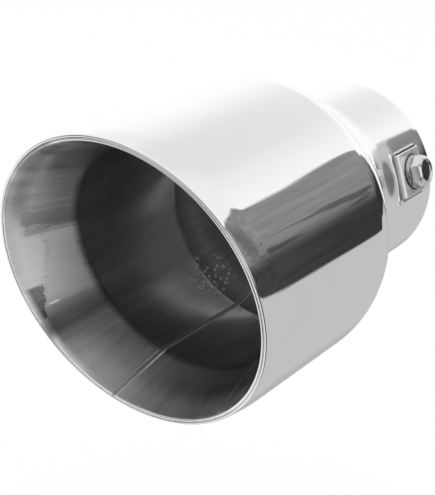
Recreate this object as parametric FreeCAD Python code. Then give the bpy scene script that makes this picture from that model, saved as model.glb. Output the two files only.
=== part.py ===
import FreeCAD
import Part
import math
import os

# Bolt-on exhaust tip, double walled, with a slanted mouth and a clamped inlet neck.
# The origin is the centre of the inlet's end face, +Y runs along the tube and out of
# the inlet, the mouth looks towards -Y, and +Z points to the mouth's long side.
# All sizes are millimetres and degrees.

# Whole tip
body_diameter = 101.6
overall_length = 152.4
mouth_slant = 14.0

# Outer shell, spun from one tube
shell_wall = 1.0
shoulder_radius = 20.0
collar_radius = 38.0
neck_straight = 30.0
curl_length = 11.0
curl_drop = 0.8
edge_flats = 4

# Inner liner, rolled and welded: a lip at the mouth, a straight tube, a sleeve in the neck
liner_wall = 1.0
pipe_diameter = 63.5
pipe_clearance = 1.0
tube_diameter = 80.0
lip_depth = 27.0
lip_bend = 3.0
reducer_radius = 12.0
sleeve_length = 42.0
layer_gap = 0.05

# The liner's long weld
weld_radius = 1.0
weld_rise = 0.3
weld_angle = -102.0
weld_margin = 4.0

# Clamp tongue, lanced out of the neck, and the slit in front of its rolled lip
clamp_angle = 22.0
clamp_from_end = 14.5
tongue_width = 16.0
tongue_length = 13.5
tongue_behind_bolt = 6.5
tongue_rise = 0.8
tongue_ramp = 3.0
tongue_bend = 1.8
lip_gap = 0.2
shear_gap = 0.3
slit_width = 2.4
slit_length = 20.0

# Clamp bolt, washer and square nut
bolt_diameter = 6.0
head_across_flats = 10.0
head_height = 4.0
head_land = 0.5
head_slope = 30.0
dish_depth = 0.6
washer_diameter = 12.0
washer_thickness = 1.6
hole_clearance = 0.2
thread_clearance = 0.03
nut_width = 13.0
nut_clearance = 0.15
nut_bore_gap = 0.1
seat_gap = 0.02

# Worked out from the sizes above
tan_slant = math.tan(math.radians(mouth_slant))
body_r = body_diameter / 2
sleeve_in_r = pipe_diameter / 2 + pipe_clearance
sleeve_out_r = sleeve_in_r + liner_wall
neck_in_r = sleeve_out_r + layer_gap
neck_out_r = neck_in_r + shell_wall
tube_in_r = tube_diameter / 2
tube_out_r = tube_in_r + liner_wall
curl_radius = (curl_length ** 2 + curl_drop ** 2) / (2 * curl_drop)
curl_turn = math.asin(curl_length / curl_radius)
edge_half = shell_wall / 2
edge_r = body_r - curl_radius + (curl_radius - edge_half) * math.cos(curl_turn)
edge_r -= edge_half * math.sin(curl_turn)
edge_y = edge_half * (math.sin(curl_turn) - math.cos(curl_turn))
mouth_y = tan_slant * edge_r - edge_y - overall_length
far = 2 * (overall_length + body_diameter)

clamp_y = -clamp_from_end
tongue_top = neck_out_r + tongue_rise
tongue_under = tongue_top - shell_wall
tongue_rear_y = clamp_y + tongue_behind_bolt
tongue_front_y = tongue_rear_y - tongue_length - tongue_bend
nut_in = sleeve_in_r + nut_bore_gap
nut_thickness = tongue_under - seat_gap - nut_in
washer_x = tongue_top + seat_gap
head_x = washer_x + washer_thickness + seat_gap

origin = FreeCAD.Vector(0, 0, 0)
x_axis = FreeCAD.Vector(1, 0, 0)
y_axis = FreeCAD.Vector(0, 1, 0)


def at(r, y):
    """A point of a half section, by its radius and its place along the tube."""
    return FreeCAD.Vector(r, y, 0)


def line(a, b):
    return Part.LineSegment(a, b).toShape()


def arc(a, middle, b):
    return Part.Arc(a, middle, b).toShape()


def rounded_edge(outside, inside):
    """The edge of a wall on the mouth's side, rounded in short flats."""
    centre = (outside + inside) * 0.5
    across = outside - centre
    ahead = at(across.y, -across.x)
    turns = [math.pi * k / edge_flats for k in range(edge_flats + 1)]
    points = [centre + across * math.cos(t) + ahead * math.sin(t) for t in turns]
    return [line(a, b) for a, b in zip(points, points[1:])]


def turned(edges):
    """A closed half section, turned about the tube's axis."""
    return Part.Face(Part.Wire(edges)).revolve(origin, y_axis, 360)


def outline(points):
    """Straight edges through the points, closed."""
    return [line(a, b) for a, b in zip(points, points[1:] + points[:1])]


def slanted(shape):
    """A square-ended turned shape, with every layer slid along Y to the mouth's slant."""
    matrix = FreeCAD.Matrix()
    matrix.A23 = -tan_slant
    return shape.transformGeometry(matrix)


def behind_slant(y):
    """All that lies on the inlet's side of the slanted plane crossing the axis at y."""
    block = Part.makeBox(far, far, far, FreeCAD.Vector(-far / 2, 0, -far / 2))
    block.rotate(origin, x_axis, mouth_slant)
    block.translate(FreeCAD.Vector(0, y, 0))
    return block


def ogee(big_r, small_r, convex, concave, small_y):
    """Two tangent arcs from a small tube out to a big one, and the place where they end."""
    turn = math.acos(1 - (big_r - small_r) / (convex + concave))
    big_y = small_y - (convex + concave) * math.sin(turn)

    def on_concave(angle):
        return at(small_r + concave - concave * math.cos(angle), small_y - concave * math.sin(angle))

    def on_convex(angle):
        return at(big_r - convex + convex * math.cos(angle), big_y + convex * math.sin(angle))

    inner_arc = arc(at(small_r, small_y), on_concave(turn / 2), on_concave(turn))
    outer_arc = arc(on_concave(turn), on_convex(turn / 2), at(big_r, big_y))
    return [inner_arc, outer_arc], big_y


def reduced_tube(big_r, small_r, wall, convex, concave, small_y, front_y):
    """A tube that narrows to a neck, open at both ends, with its neck's end at the origin."""
    outer, outer_y = ogee(big_r, small_r, convex, concave, small_y)
    inner, inner_y = ogee(big_r - wall, small_r - wall, convex - wall, concave + wall, small_y)
    edges = [line(at(small_r, 0), at(small_r, small_y))] + outer
    edges += [line(at(big_r, outer_y), at(big_r, front_y))]
    edges += [line(at(big_r, front_y), at(big_r - wall, front_y))]
    edges += [line(at(big_r - wall, front_y), at(big_r - wall, inner_y))]
    edges += inner[::-1]
    edges += [line(at(small_r - wall, small_y), at(small_r - wall, 0))]
    edges += [line(at(small_r - wall, 0), at(small_r, 0))]
    return turned(edges)


def with_slanted_front(rear, front, y):
    """The square-ended rear of a tube joined to its slanted front at the plane through y."""
    return rear.common(behind_slant(y)).fuse(slanted(front))


# Where the liner's tube starts to narrow
reducer_start_y = ogee(tube_out_r, sleeve_out_r, reducer_radius, reducer_radius, -sleeve_length)[1]


# The curl of the shell's rim, as a half section before the slant

def on_curl(radius, angle):
    centre = at(body_r - curl_radius, mouth_y + curl_length)
    return centre + at(radius * math.cos(angle), -radius * math.sin(angle))


shell_rim_out = on_curl(curl_radius, curl_turn)
shell_rim_in = on_curl(curl_radius - shell_wall, curl_turn)
shell_join_y = mouth_y + curl_length + 3 * shell_wall

# The liner's lip, as a half section before the slant: a cone that meets the shell's rim

lip_out = shell_rim_in - at(layer_gap, 0)
lip_foot = at(tube_out_r, mouth_y + lip_depth)
lip_turn = math.atan2(lip_out.x - lip_foot.x, lip_foot.y - lip_out.y)
lip_in = lip_out - at(math.cos(lip_turn), math.sin(lip_turn)) * liner_wall
bend_centre = lip_foot + at(lip_bend, lip_bend * math.tan(lip_turn / 2))
liner_join_y = bend_centre.y + 3 * liner_wall


def on_bend(radius, angle):
    return bend_centre - at(radius * math.cos(angle), radius * math.sin(angle))


def make_shell_front():
    inside = curl_radius - shell_wall
    edges = [line(at(body_r, shell_join_y), on_curl(curl_radius, 0))]
    edges += [arc(on_curl(curl_radius, 0), on_curl(curl_radius, curl_turn / 2), shell_rim_out)]
    edges += rounded_edge(shell_rim_out, shell_rim_in)
    edges += [arc(shell_rim_in, on_curl(inside, curl_turn / 2), on_curl(inside, 0))]
    edges += [line(on_curl(inside, 0), at(body_r - shell_wall, shell_join_y))]
    edges += [line(at(body_r - shell_wall, shell_join_y), at(body_r, shell_join_y))]
    return turned(edges)


def make_liner_front():
    inside = lip_bend + liner_wall
    edges = [line(at(tube_out_r, liner_join_y), on_bend(lip_bend, 0))]
    edges += [arc(on_bend(lip_bend, 0), on_bend(lip_bend, lip_turn / 2), on_bend(lip_bend, lip_turn))]
    edges += [line(on_bend(lip_bend, lip_turn), lip_out)]
    edges += rounded_edge(lip_out, lip_in)
    edges += [line(lip_in, on_bend(inside, lip_turn))]
    edges += [arc(on_bend(inside, lip_turn), on_bend(inside, lip_turn / 2), on_bend(inside, 0))]
    edges += [line(on_bend(inside, 0), at(tube_in_r, liner_join_y))]
    edges += [line(at(tube_in_r, liner_join_y), at(tube_out_r, liner_join_y))]
    return turned(edges)


def at_clamp(shape):
    """A clamp piece, drawn with its bolt along +X, turned to its place round the neck."""
    turned_shape = shape.copy()
    turned_shape.rotate(origin, y_axis, -clamp_angle)
    return turned_shape


def slot(y_low, y_high, length):
    """A cutter for a round-ended slot that runs round the neck."""
    radius = (y_high - y_low) / 2
    middle = (y_high + y_low) / 2
    half = length / 2 - radius
    cutter = Part.makeBox(far, 2 * radius, 2 * half, FreeCAD.Vector(0, y_low, -half))
    for z in (-half, half):
        cutter = cutter.fuse(Part.makeCylinder(radius, far, FreeCAD.Vector(0, middle, z), x_axis))
    return cutter


def make_tongue():
    """The flat tongue with its rolled lip, and the ramp that ties it to the round neck."""
    half = tongue_width / 2
    flat_y = tongue_front_y + tongue_bend
    lip_back_y = tongue_front_y + shell_wall
    lip_end = sleeve_in_r + lip_gap
    roll = tongue_bend / math.sqrt(2)
    inner_roll = (tongue_bend - shell_wall) / math.sqrt(2)
    bend_x = tongue_top - tongue_bend
    edges = [line(at(tongue_top, tongue_rear_y), at(tongue_top, flat_y))]
    edges += [arc(at(tongue_top, flat_y), at(bend_x + roll, flat_y - roll), at(bend_x, tongue_front_y))]
    edges += [line(at(bend_x, tongue_front_y), at(lip_end, tongue_front_y))]
    edges += [line(at(lip_end, tongue_front_y), at(lip_end, lip_back_y))]
    edges += [line(at(lip_end, lip_back_y), at(bend_x, lip_back_y))]
    under_middle = at(bend_x + inner_roll, flat_y - inner_roll)
    edges += [arc(at(bend_x, lip_back_y), under_middle, at(tongue_under, flat_y))]
    edges += [line(at(tongue_under, flat_y), at(tongue_under, tongue_rear_y))]
    edges += [line(at(tongue_under, tongue_rear_y), at(tongue_top, tongue_rear_y))]
    flat = Part.Face(Part.Wire(edges))
    flat.translate(FreeCAD.Vector(0, 0, -half))
    flat = flat.extrude(FreeCAD.Vector(0, 0, tongue_width))

    ramp_y = tongue_rear_y + tongue_ramp
    out_x = math.sqrt(neck_out_r ** 2 - half ** 2)
    in_x = math.sqrt(neck_in_r ** 2 - half ** 2)
    ends = ((out_x, -half), (out_x, half), (in_x, half), (in_x, -half))
    corners = [FreeCAD.Vector(x, ramp_y, z) for x, z in ends]
    round_end = [arc(corners[0], at(neck_out_r, ramp_y), corners[1]), line(corners[1], corners[2])]
    round_end += [arc(corners[2], at(neck_in_r, ramp_y), corners[3]), line(corners[3], corners[0])]
    ends = ((tongue_top, -half), (tongue_top, half), (tongue_under, half), (tongue_under, -half))
    flat_end = outline([FreeCAD.Vector(x, tongue_rear_y, z) for x, z in ends])
    ramp = Part.makeLoft([Part.Wire(round_end), Part.Wire(flat_end)], True, True)
    hole = Part.makeCylinder(bolt_diameter / 2 + hole_clearance, far, FreeCAD.Vector(0, clamp_y, 0), x_axis)
    return flat.fuse(ramp).cut(hole)


def make_outer_shell():
    rear = reduced_tube(body_r, neck_out_r, shell_wall, shoulder_radius, collar_radius, -neck_straight,
                        mouth_y - body_r)
    shell = with_slanted_front(rear, make_shell_front(), shell_join_y)
    width = tongue_width + 2 * shear_gap
    rear_y = tongue_rear_y + tongue_ramp
    window = Part.makeBox(far, rear_y - tongue_front_y, width, FreeCAD.Vector(0, tongue_front_y, -width / 2))
    window = window.fuse(slot(tongue_front_y - slit_width, tongue_front_y, slit_length))
    return shell.cut(at_clamp(window)).fuse(at_clamp(make_tongue()))


def weld_point(section_point):
    """A point of the liner's half section, slid to the slant and turned to the weld's line."""
    angle = math.radians(weld_angle)
    z = section_point.x * math.sin(angle)
    return FreeCAD.Vector(section_point.x * math.cos(angle), section_point.y - tan_slant * z, z)


def make_weld():
    """The long bead: it stands a little proud inside, and its root shows on the hidden side."""
    sunk = weld_radius - weld_rise
    foot = at(tube_in_r + sunk, lip_foot.y - liner_wall * math.tan(lip_turn / 2))
    along = (lip_in - foot)
    along.normalize()
    rim = lip_in + at(math.cos(lip_turn), math.sin(lip_turn)) * sunk - along * weld_margin
    start = weld_point(rim)
    kink = weld_point(foot)
    end = FreeCAD.Vector(kink.x, reducer_start_y, kink.z)
    bead = Part.makeCylinder(weld_radius, (kink - start).Length, start, kink - start)
    bead = bead.fuse(Part.makeSphere(weld_radius, kink))
    return bead.fuse(Part.makeCylinder(weld_radius, (end - kink).Length, kink, end - kink))


def make_inner_liner():
    rear = reduced_tube(tube_out_r, sleeve_out_r, liner_wall, reducer_radius, reducer_radius,
                        -sleeve_length, mouth_y - body_r)
    liner = with_slanted_front(rear, make_liner_front(), liner_join_y).fuse(make_weld())
    width = nut_width + 2 * nut_clearance
    corner = FreeCAD.Vector(0, clamp_y - width / 2, -width / 2)
    window = Part.makeBox(far, width, width, corner)
    window = window.fuse(slot(tongue_front_y - slit_width, clamp_y - nut_width / 2, slit_length))
    return liner.cut(at_clamp(window))


def hexagon(across_flats, x, height):
    """A six-sided prism along +X, with two corners on the Z axis."""
    corner_r = across_flats / math.sqrt(3)
    turns = [math.radians(60 * k) for k in range(6)]
    corners = [FreeCAD.Vector(x, clamp_y + corner_r * math.sin(t), corner_r * math.cos(t)) for t in turns]
    return Part.Face(Part.Wire(outline(corners))).extrude(FreeCAD.Vector(height, 0, 0))


def make_bolt():
    land_r = head_across_flats / 2 - head_land / 2
    base_r = land_r + head_height / math.tan(math.radians(head_slope))
    axis_point = FreeCAD.Vector(head_x, clamp_y, 0)
    cone = Part.makeCone(base_r, land_r, head_height, axis_point, x_axis)
    dish_point = FreeCAD.Vector(head_x + head_height - dish_depth, clamp_y, 0)
    dish = Part.makeCylinder(land_r - head_land, head_height, dish_point, x_axis)
    head = hexagon(head_across_flats, head_x, head_height).common(cone).cut(dish)
    shank = Part.makeCylinder(bolt_diameter / 2, head_x - nut_in, FreeCAD.Vector(nut_in, clamp_y, 0), x_axis)
    return at_clamp(head.fuse(shank))


def make_washer():
    base = FreeCAD.Vector(washer_x, clamp_y, 0)
    disc = Part.makeCylinder(washer_diameter / 2, washer_thickness, base, x_axis)
    hole = Part.makeCylinder(bolt_diameter / 2 + hole_clearance, washer_thickness, base, x_axis)
    return at_clamp(disc.cut(hole))


def make_nut():
    corner = FreeCAD.Vector(nut_in, clamp_y - nut_width / 2, -nut_width / 2)
    plate = Part.makeBox(nut_thickness, nut_width, nut_width, corner)
    hole_r = bolt_diameter / 2 + thread_clearance
    hole = Part.makeCylinder(hole_r, nut_thickness, FreeCAD.Vector(nut_in, clamp_y, 0), x_axis)
    return at_clamp(plate.cut(hole))


def export(name, shape):
    """Writes one node, after checking that it is a single sound solid."""
    solids = shape.Solids
    sound = len(solids) == 1 and solids[0].isValid()
    print(name, "solids", len(solids), "sound", sound, "volume", round(shape.Volume, 1))
    solids[0].exportStep("parts/" + name + ".step")


os.makedirs("parts", exist_ok=True)
export("outer_shell", make_outer_shell())
export("inner_liner", make_inner_liner())
export("clamp_bolt", make_bolt())
export("clamp_washer", make_washer())
export("clamp_nut", make_nut())
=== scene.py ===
# %% [markdown]
# # A bolt-on exhaust tip in polished steel
# The real thing is two thin steel tubes, one inside the other. The outer one is spun to a
# shoulder and a neck and polished like a mirror. The inner one has a flared lip at the slanted
# mouth. A bolt, a washer and a hidden square nut pull a tongue of the neck onto the tailpipe.
# A mirror shows every flaw in a surface, so this lesson is about smooth sheets with true
# curves, and about the surroundings that the steel reflects.

# %% Load the packed model
import math
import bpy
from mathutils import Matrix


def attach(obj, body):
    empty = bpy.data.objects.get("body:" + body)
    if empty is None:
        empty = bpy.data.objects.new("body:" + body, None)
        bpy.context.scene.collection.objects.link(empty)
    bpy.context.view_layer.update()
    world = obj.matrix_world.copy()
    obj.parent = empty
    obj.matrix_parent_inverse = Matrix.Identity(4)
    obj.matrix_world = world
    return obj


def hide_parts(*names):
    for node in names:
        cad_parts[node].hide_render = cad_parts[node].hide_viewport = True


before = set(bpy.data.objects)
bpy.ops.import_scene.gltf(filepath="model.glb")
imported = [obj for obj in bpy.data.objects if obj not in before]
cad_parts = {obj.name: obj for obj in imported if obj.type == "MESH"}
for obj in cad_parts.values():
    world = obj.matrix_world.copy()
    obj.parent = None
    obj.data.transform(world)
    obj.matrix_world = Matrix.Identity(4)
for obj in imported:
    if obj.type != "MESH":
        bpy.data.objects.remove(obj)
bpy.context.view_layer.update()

from types import SimpleNamespace

import bmesh
import bpy
from mathutils import Matrix, Vector

scene = bpy.context.scene
print("nodes:", sorted(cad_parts))

# %% [markdown]
# The sizes are those of the part's own drawing, in millimetres. The tube runs along Y, its
# inlet end is at Y = 0, and the mouth is at -Y. A *half section* is a list of points
# (radius, place along the tube). Spinning it round Y makes the sheet.

# %% Sizes
MM = 0.001
BODY_R, LENGTH = 50.8, 152.4
SLANT = math.tan(math.radians(14.0))
WALL, GAP, SEAT = 1.0, 0.05, 0.02
SHOULDER_R, COLLAR_R, NECK_STRAIGHT = 20.0, 38.0, 30.0
CURL_LENGTH, CURL_DROP = 11.0, 0.8
SLEEVE_IN, SLEEVE_LENGTH, NECK_IN, NECK_OUT = 32.75, 42.0, 33.8, 34.8
TUBE_IN, REDUCER_R, LIP_DEPTH, LIP_BEND = 40.0, 12.0, 27.0, 3.0
WELD_ANGLE, WELD_R, WELD_RISE = -102.0, 1.0, 0.3
CLAMP_ANGLE, CLAMP_Y = 22.0, -14.5
TONGUE_WIDTH, TONGUE_LENGTH, TONGUE_BEHIND, TONGUE_RISE = 16.0, 13.5, 6.5, 0.8
TONGUE_RAMP, TONGUE_BEND, LIP_GAP = 3.0, 1.8, 0.2
SHEAR_GAP, SLIT_WIDTH, SLIT_LENGTH = 0.3, 2.4, 20.0
HEAD_FLATS, HEAD_HEIGHT = 10.0, 4.0
WASHER_R, WASHER_THICK = 6.0, 1.6
NUT_WIDTH, NUT_GAP, BORE_GAP = 13.0, 0.15, 0.1

curl_r = (CURL_LENGTH ** 2 + CURL_DROP ** 2) / (2 * CURL_DROP)
curl_turn = math.asin(CURL_LENGTH / curl_r)
edge_half = WALL / 2
edge_r = BODY_R - curl_r + (curl_r - edge_half) * math.cos(curl_turn)
edge_r -= edge_half * math.sin(curl_turn)
edge_y = edge_half * (math.sin(curl_turn) - math.cos(curl_turn))
mouth_y = SLANT * edge_r - edge_y - LENGTH
tongue_top = NECK_OUT + TONGUE_RISE
tongue_rear = CLAMP_Y + TONGUE_BEHIND
tongue_front = tongue_rear - TONGUE_LENGTH - TONGUE_BEND
washer_x = tongue_top + SEAT
head_x = washer_x + WASHER_THICK + SEAT
nut_in = SLEEVE_IN + BORE_GAP
nut_out = tongue_top - WALL - SEAT


def mm(*sizes):
    """Sizes in millimetres, turned into metres."""
    return [size * MM for size in sizes]


print("mouth crosses the axis at", round(mouth_y, 2), "mm; curl radius", round(curl_r, 1), "mm")

# %% [markdown]
# The camera stands where the photographer's stood. Its place and its three directions were
# found by fitting circles of the tip, such as the mouth and the shoulder, to their outlines.
# Turning the camera by eye would get near, but a mirror's reflections shift with each degree.

# %% Camera
CAMERA_PLACE = (0.2184567, -0.4538482, 0.1868693)
CAMERA_RIGHT = Vector((0.82772924, 0.55290087, 0.0957337))
CAMERA_UP = Vector((-0.29348076, 0.28115745, 0.91368459))
CAMERA_BACK = Vector((0.47826076, -0.78437945, 0.39498801))
SENSOR_HEIGHT, FOCAL_PIXELS, PHOTO_HEIGHT = 36.0, 1400.0, 495.0
LENS_SHIFT = (0.0150, -0.0443)

camera_data = bpy.data.cameras.new("photo camera")
camera_data.sensor_fit = "VERTICAL"
camera_data.sensor_height = SENSOR_HEIGHT
camera_data.lens = SENSOR_HEIGHT * FOCAL_PIXELS / PHOTO_HEIGHT
camera_data.shift_x, camera_data.shift_y = LENS_SHIFT
camera = bpy.data.objects.new("photo camera", camera_data)
turn = Matrix((CAMERA_RIGHT, CAMERA_UP, CAMERA_BACK)).transposed().to_4x4()
camera.matrix_world = Matrix.Translation(CAMERA_PLACE) @ turn
scene.collection.objects.link(camera)
scene.camera = camera
distance = Vector(CAMERA_PLACE).length
print("lens", round(camera_data.lens, 1), "mm, distance", round(distance, 3), "m")

# %% [markdown]
# A finish or a shape made of nodes can be drawn by hand in the editor, but Python keeps it in
# one place. `Value` wraps a socket and overloads the operators, so that `1 - mask` adds a Math
# node. A long sum then reads like a formula.

# %% Sockets in sums
class Value:
    """A socket that takes part in Python expressions."""

    def __init__(self, maker, socket):
        self.maker = maker
        self.socket = socket

    def maths(self, operation, *others):
        return self.maker.maths(operation, self, *others)

    def __add__(self, other):
        return self.maths("ADD", other)

    def __sub__(self, other):
        return self.maths("SUBTRACT", other)

    def __rsub__(self, other):
        return self.maker.maths("SUBTRACT", other, self)

    def __mul__(self, other):
        return self.maths("MULTIPLY", other)

    def __truediv__(self, other):
        return self.maths("DIVIDE", other)

    def __rpow__(self, other):
        return self.maker.maths("POWER", other, self)

    __radd__ = __add__
    __rmul__ = __mul__


print("a value takes part in + - * / and in powers")

# %% [markdown]
# `Maker.node` adds any other node from its type, its settings and its inputs. `step`, `below`
# and `between` make masks: values from 0 to 1 that say where a mark is. A mask could have a
# hard border, but real marks fade, and a soft border also stays free of jagged edges.

# %% Node maker
class Maker:
    """Adds nodes to a tree."""

    def __init__(self, tree):
        self.tree = tree

    def node(self, kind, settings=None, inputs=None, output=0):
        """A node of one type: its settings come first, then its sockets' values or links."""
        made = self.tree.nodes.new(kind)
        for name, value in (settings or {}).items():
            setattr(made, name, value)
        for name, value in (inputs or {}).items():
            if isinstance(value, Value):
                self.tree.links.new(value.socket, made.inputs[name])
            else:
                made.inputs[name].default_value = value
        return Value(self, made.outputs[output])

    def maths(self, operation, *inputs):
        return self.node("ShaderNodeMath", {"operation": operation}, dict(enumerate(inputs)))

    def vector(self, x, y, z=0.0):
        return self.node("ShaderNodeCombineXYZ", None, {0: x, 1: y, 2: z})

    def parts(self, vector):
        """The x, y and z of a vector."""
        return [self.node("ShaderNodeSeparateXYZ", None, {0: vector}, k) for k in range(3)]

    def step(self, value, low, high):
        """0 below low and 1 above high, with a soft change between them."""
        inputs = {"Value": value, "From Min": low, "From Max": high}
        return self.node("ShaderNodeMapRange", {"interpolation_type": "SMOOTHSTEP"}, inputs)

    def below(self, value, low, high):
        """1 below low and 0 above high."""
        return 1 - self.step(value, low, high)

    def between(self, value, low, high, soft):
        """1 from low to high, and 0 outside."""
        rise = self.step(value, low - soft, low + soft)
        return rise * self.below(value, high - soft, high + soft)

    def blend(self, factor, a, b):
        """A mix of two numbers."""
        return self.node("ShaderNodeMix", {"data_type": "FLOAT"}, {0: factor, 2: a, 3: b})

    def colour(self, factor, a, b):
        """A mix of two colours."""
        return self.node("ShaderNodeMix", {"data_type": "RGBA"}, {0: factor, 6: a, 7: b}, 2)

    def grey(self, tone):
        """The colour of a tone from 0, black, to 1, white."""
        return self.colour(tone, (0, 0, 0, 1), (1, 1, 1, 1))


print("node helpers:", [name for name in vars(Maker) if not name.startswith("_")])

# %% [markdown]
# A Geometry Nodes tree makes a shape from a rule and a few named inputs, so a size can change
# later without modelling anything again. Both trees of this part start and end alike. They
# end in real geometry, because the export drops instances, and in the piece's material.

# %% Start and end of a tree
def tree_with_inputs(name, sockets):
    """A new Geometry Nodes tree, its maker, and its inputs by name."""
    tree = bpy.data.node_groups.new(name, "GeometryNodeTree")
    for socket, kind in sockets.items():
        tree.interface.new_socket(socket, in_out="INPUT", socket_type="NodeSocket" + kind)
    tree.interface.new_socket("Piece", in_out="OUTPUT", socket_type="NodeSocketGeometry")
    maker = Maker(tree)
    start = tree.nodes.new("NodeGroupInput")
    return tree, maker, {socket: Value(maker, start.outputs[socket]) for socket in sockets}


def finish_tree(maker, tree, geometry, material):
    """Ends a tree with real geometry in its material."""
    smooth = maker.node("GeometryNodeSetShadeSmooth", None, {"Geometry": geometry})
    real = maker.node("GeometryNodeRealizeInstances", None, {"Geometry": smooth})
    inputs = {"Geometry": real, "Material": material}
    dressed = maker.node("GeometryNodeSetMaterial", None, inputs)
    end = tree.nodes.new("NodeGroupOutput")
    tree.links.new(dressed.socket, end.inputs[0])


print("a tree ends in smooth shading, real geometry and a material")

# %% [markdown]
# A spun sheet follows one rule: every point of the half section goes round a full circle. So
# it is made with Geometry Nodes. A grid has one column for each step round the tube and one
# row for each point of the section, and each grid point takes its place from the section. The
# slanted mouth is part of the rule: a point slides along the tube by its height, as far as its
# `slides` attribute says. A sliding point stays on the round tube, so no surface is cut.

# %% The spinning tree
DOUBLES = 1e-6


def from_section(maker, section, kind, value, row):
    """What one row of the half section says of a point or a number."""
    inputs = {"Geometry": section, "Value": value, "Index": row}
    return maker.node("GeometryNodeSampleIndex", {"data_type": kind}, inputs)


def spinning_tree():
    sockets = {"Section": "Geometry", "Steps": "Int", "Slant": "Float", "Finish": "Material"}
    tree, maker, given = tree_with_inputs("spin a slanted section", sockets)
    section, steps = given["Section"], given["Steps"]
    inputs = {"Geometry": section}
    rows = maker.node("GeometryNodeAttributeDomainSize", {"component": "MESH"}, inputs)
    sizes = {"Vertices X": steps + 1, "Vertices Y": rows, "Size X": 1.0, "Size Y": 1.0}
    grid = maker.node("GeometryNodeMeshGrid", None, sizes)
    index = maker.node("GeometryNodeInputIndex")
    column = ((index + 0.5) / rows).maths("FLOOR")
    row = index - column * rows
    place = maker.node("GeometryNodeInputPosition")
    settings, inputs = {"data_type": "FLOAT"}, {"Name": "slides"}
    slides = maker.node("GeometryNodeInputNamedAttribute", settings, inputs)
    radius, along, _ = maker.parts(from_section(maker, section, "FLOAT_VECTOR", place, row))
    slide = from_section(maker, section, "FLOAT", slides, row)
    angle = column / steps * math.tau
    across, height = radius * angle.maths("COSINE"), radius * angle.maths("SINE")
    spot = maker.vector(across, along - slide * given["Slant"] * height, height)
    moved = maker.node("GeometryNodeSetPosition", None, {"Geometry": grid, "Position": spot})
    inputs = {"Geometry": moved, "Distance": DOUBLES}
    merged = maker.node("GeometryNodeMergeByDistance", None, inputs)
    finish_tree(maker, tree, merged, given["Finish"])
    return tree


SPIN = spinning_tree()
print("spinning tree:", len(SPIN.nodes), "nodes")

# %% [markdown]
# A tree or a Boolean is only a recipe on an object. The steps after it, and the export, need
# the mesh that it makes. So `settled` works each recipe into the mesh as soon as it is set.

# %% Recipes into meshes
def new_piece(name, mesh):
    piece = bpy.data.objects.new(name, mesh)
    scene.collection.objects.link(piece)
    return piece


def settled(piece):
    """Works the modifiers into the piece's own mesh."""
    bpy.context.view_layer.update()
    graph = bpy.context.evaluated_depsgraph_get()
    mesh = bpy.data.meshes.new_from_object(piece.evaluated_get(graph))
    piece.modifiers.clear()
    piece.data = mesh
    return piece


def add_tree(piece, name, tree, **values):
    """Works a tree into a piece, with its inputs set by their identifiers."""
    modifier = piece.modifiers.new(name, "NODES")
    modifier.node_group = tree
    for item in tree.interface.items_tree:
        if item.item_type == "SOCKET" and item.in_out == "INPUT" and item.name in values:
            modifier[item.identifier] = values[item.name]
    settled(piece)
    facing_out(piece.data)


def facing_out(mesh):
    """Merges doubles, turns every face outwards and shades the mesh smooth."""
    work = bmesh.new()
    work.from_mesh(mesh)
    bmesh.ops.remove_doubles(work, verts=work.verts, dist=DOUBLES / 10)
    bmesh.ops.recalc_face_normals(work, faces=work.faces)
    if work.calc_volume(signed=True) < 0:
        bmesh.ops.reverse_faces(work, faces=work.faces)
    for face in work.faces:
        face.smooth = True
    work.to_mesh(mesh)
    work.free()


print("points closer than", DOUBLES / 10, "m count as one")

# %% [markdown]
# `spin` hands a half section to the tree as a mesh of loose edges. The `slides` attribute
# rides on its points, because a tree reads what varies from the geometry itself.

# %% Spin a section
def spin(name, section, steps, material):
    """A spun sheet from a closed half section of (radius, along, slides) in millimetres."""
    mesh = bpy.data.meshes.new(name)
    closed = section + section[:1]
    edges = [(k, k + 1) for k in range(len(closed) - 1)]
    mesh.from_pydata([(r * MM, y * MM, 0.0) for r, y, _ in closed], edges, [])
    attribute = mesh.attributes.new("slides", "FLOAT", "POINT")
    attribute.data.foreach_set("value", [float(s) for _, _, s in closed])
    piece = new_piece(name, mesh)
    add_tree(piece, "spin", SPIN, Steps=steps, Slant=SLANT, Finish=material)
    print(name, len(section), "section points,", len(piece.data.polygons), "faces")
    return piece


print("a section's points give a radius, a place along the tube and a slide")

# %% [markdown]
# The finishes come before the pieces, because a piece is made in its finish. Steel is a metal
# of high reflectance, and its roughness sets how sharp the mirror is. Where it is worn or
# stained, part of it looks plain instead, so a lower Metallic stands for that share.

# %% Start and end of a finish
def new_material(name):
    material = bpy.data.materials.new(name)
    material.use_nodes = True
    shader = material.node_tree.nodes["Principled BSDF"]
    return material, Maker(material.node_tree), shader


def dress(maker, shader, colour, roughness, metallic, height, strength, distance):
    """Joins a finish's colour, roughness, metallic share and bump to its shader."""
    inputs = {"Strength": strength, "Distance": distance, "Height": height}
    bump = maker.node("ShaderNodeBump", None, inputs)
    values = {"Base Color": colour, "Roughness": roughness, "Metallic": metallic, "Normal": bump}
    for socket, value in values.items():
        maker.tree.links.new(value.socket, shader.inputs[socket])


print("a finish sets colour, roughness, metallic share and bump")

# %% [markdown]
# All patterns read the object's own coordinates, so they stay put from every side. A picture
# wrapped round the part would stretch on the shoulder. Two more measures come from the
# coordinates: the turn round the tube, and the place of a point as seen from the clamp.

# %% Places and patterns
def object_axes(maker):
    """Object coordinates and their x, y and z."""
    point = maker.node("ShaderNodeTexCoord", output="Object")
    return point, maker.parts(point)


def tube_coordinates(maker, axes):
    """The distance from the tube's axis, and the turn round it as a cosine and a sine."""
    x, _, z = axes
    radius = (x * x + z * z).maths("SQRT")
    return radius, x / radius, z / radius


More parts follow.
